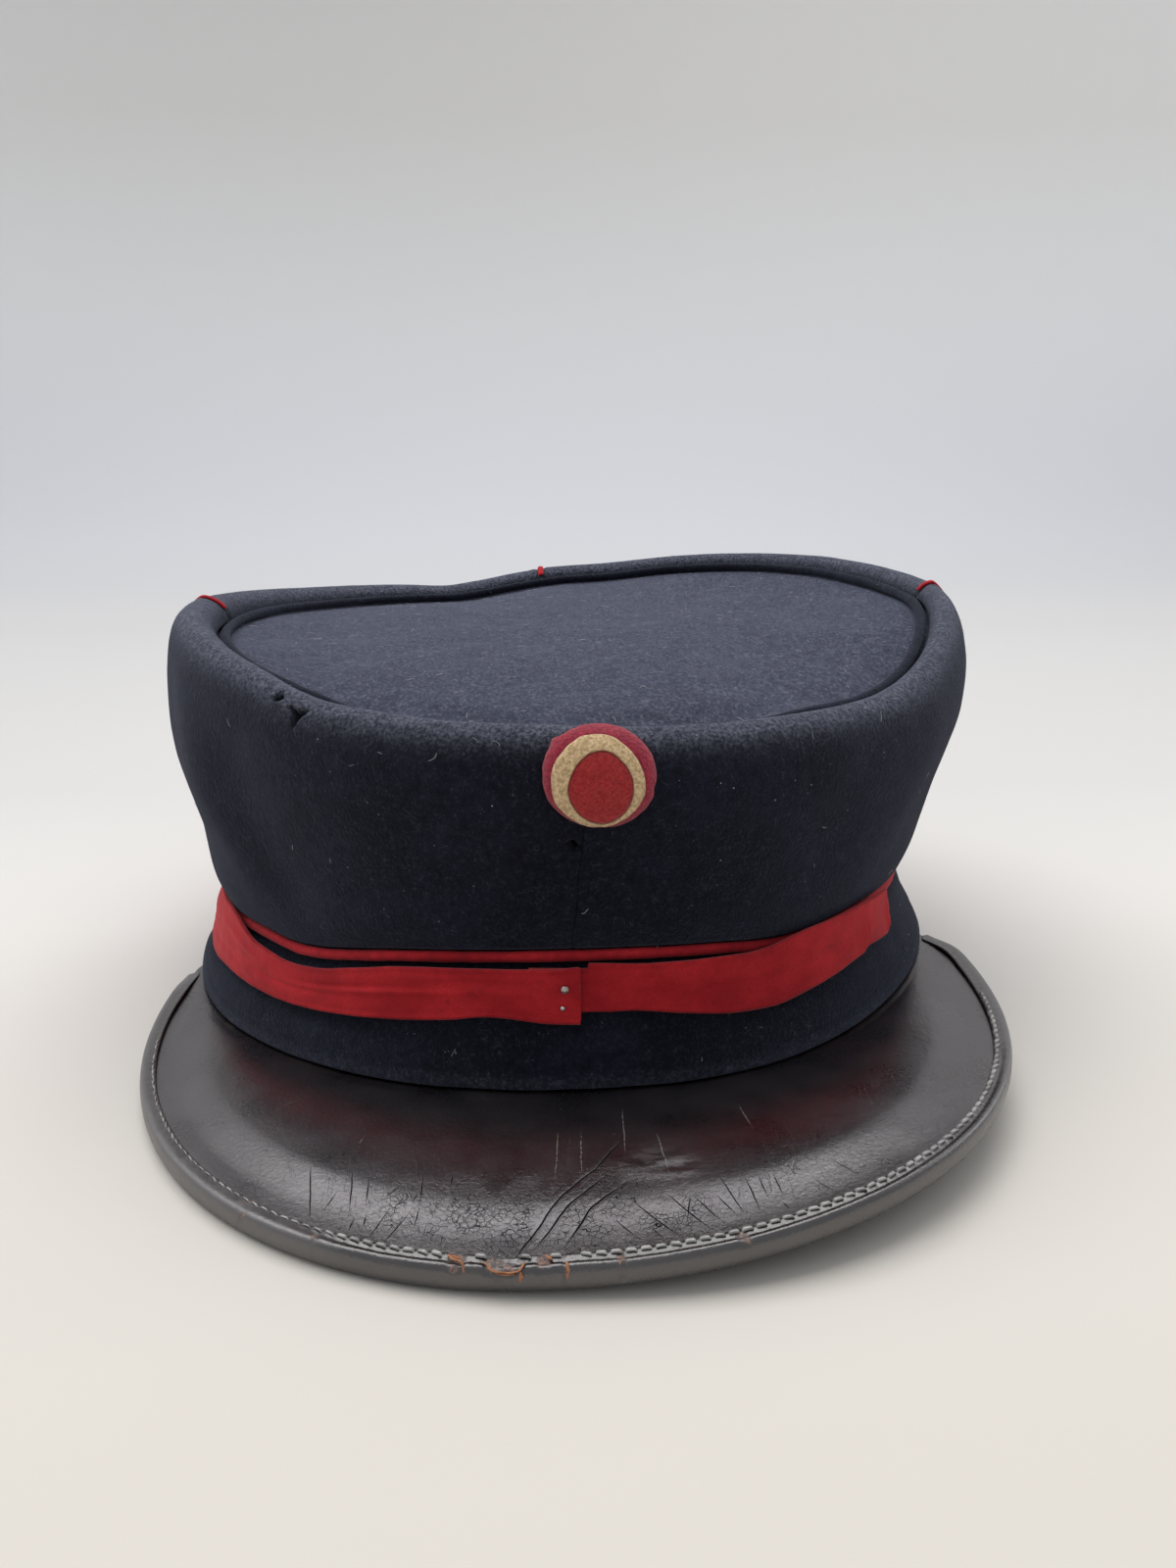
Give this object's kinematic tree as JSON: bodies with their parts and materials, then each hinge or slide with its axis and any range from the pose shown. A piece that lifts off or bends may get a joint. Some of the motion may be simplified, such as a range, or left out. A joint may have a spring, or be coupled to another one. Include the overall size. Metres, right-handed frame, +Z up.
{
  "type": "kepi cap",
  "caption": "Soft wool kepi cap with a rolled rim, recessed top, red ribbon, felt cockade and a black leather peak; the head hollow is open below.",
  "frame": {"origin": "middle of the footprint, on the surface that the cap stands on", "axes": "+Z up out of the crown; the peak points to -Y; +X is to the right of a viewer who faces the cockade"},
  "size_m": [0.1824, 0.2454, 0.0892],
  "materials": {
    "navy_wool": "matt felted wool with a short nap",
    "red_wool": "matt wool cord",
    "red_tape": "loose plain-woven tape",
    "black_leather": "satin, worn and crackled",
    "binding_leather": "satin, rubbed bright on the roll",
    "crimson_felt": "fuzzy felt",
    "tan_felt": "fuzzy felt",
    "steel": "dull, small heads"
  },
  "bodies": {
    "root": {"crown_side": "navy_wool", "crown_top": "navy_wool", "top_welt": "navy_wool", "head_band": "navy_wool", "waist_piping": "red_wool", "piping_left": "red_wool", "piping_right": "red_wool", "piping_back": "red_wool", "ribbon_long": "red_tape", "ribbon_short": "red_tape", "peak": "black_leather", "peak_binding": "binding_leather", "cockade_base": "crimson_felt", "cockade_centre": "crimson_felt", "cockade_ring": "tan_felt", "tack_upper": "steel", "tack_lower": "steel"}
  },
  "joints": []
}
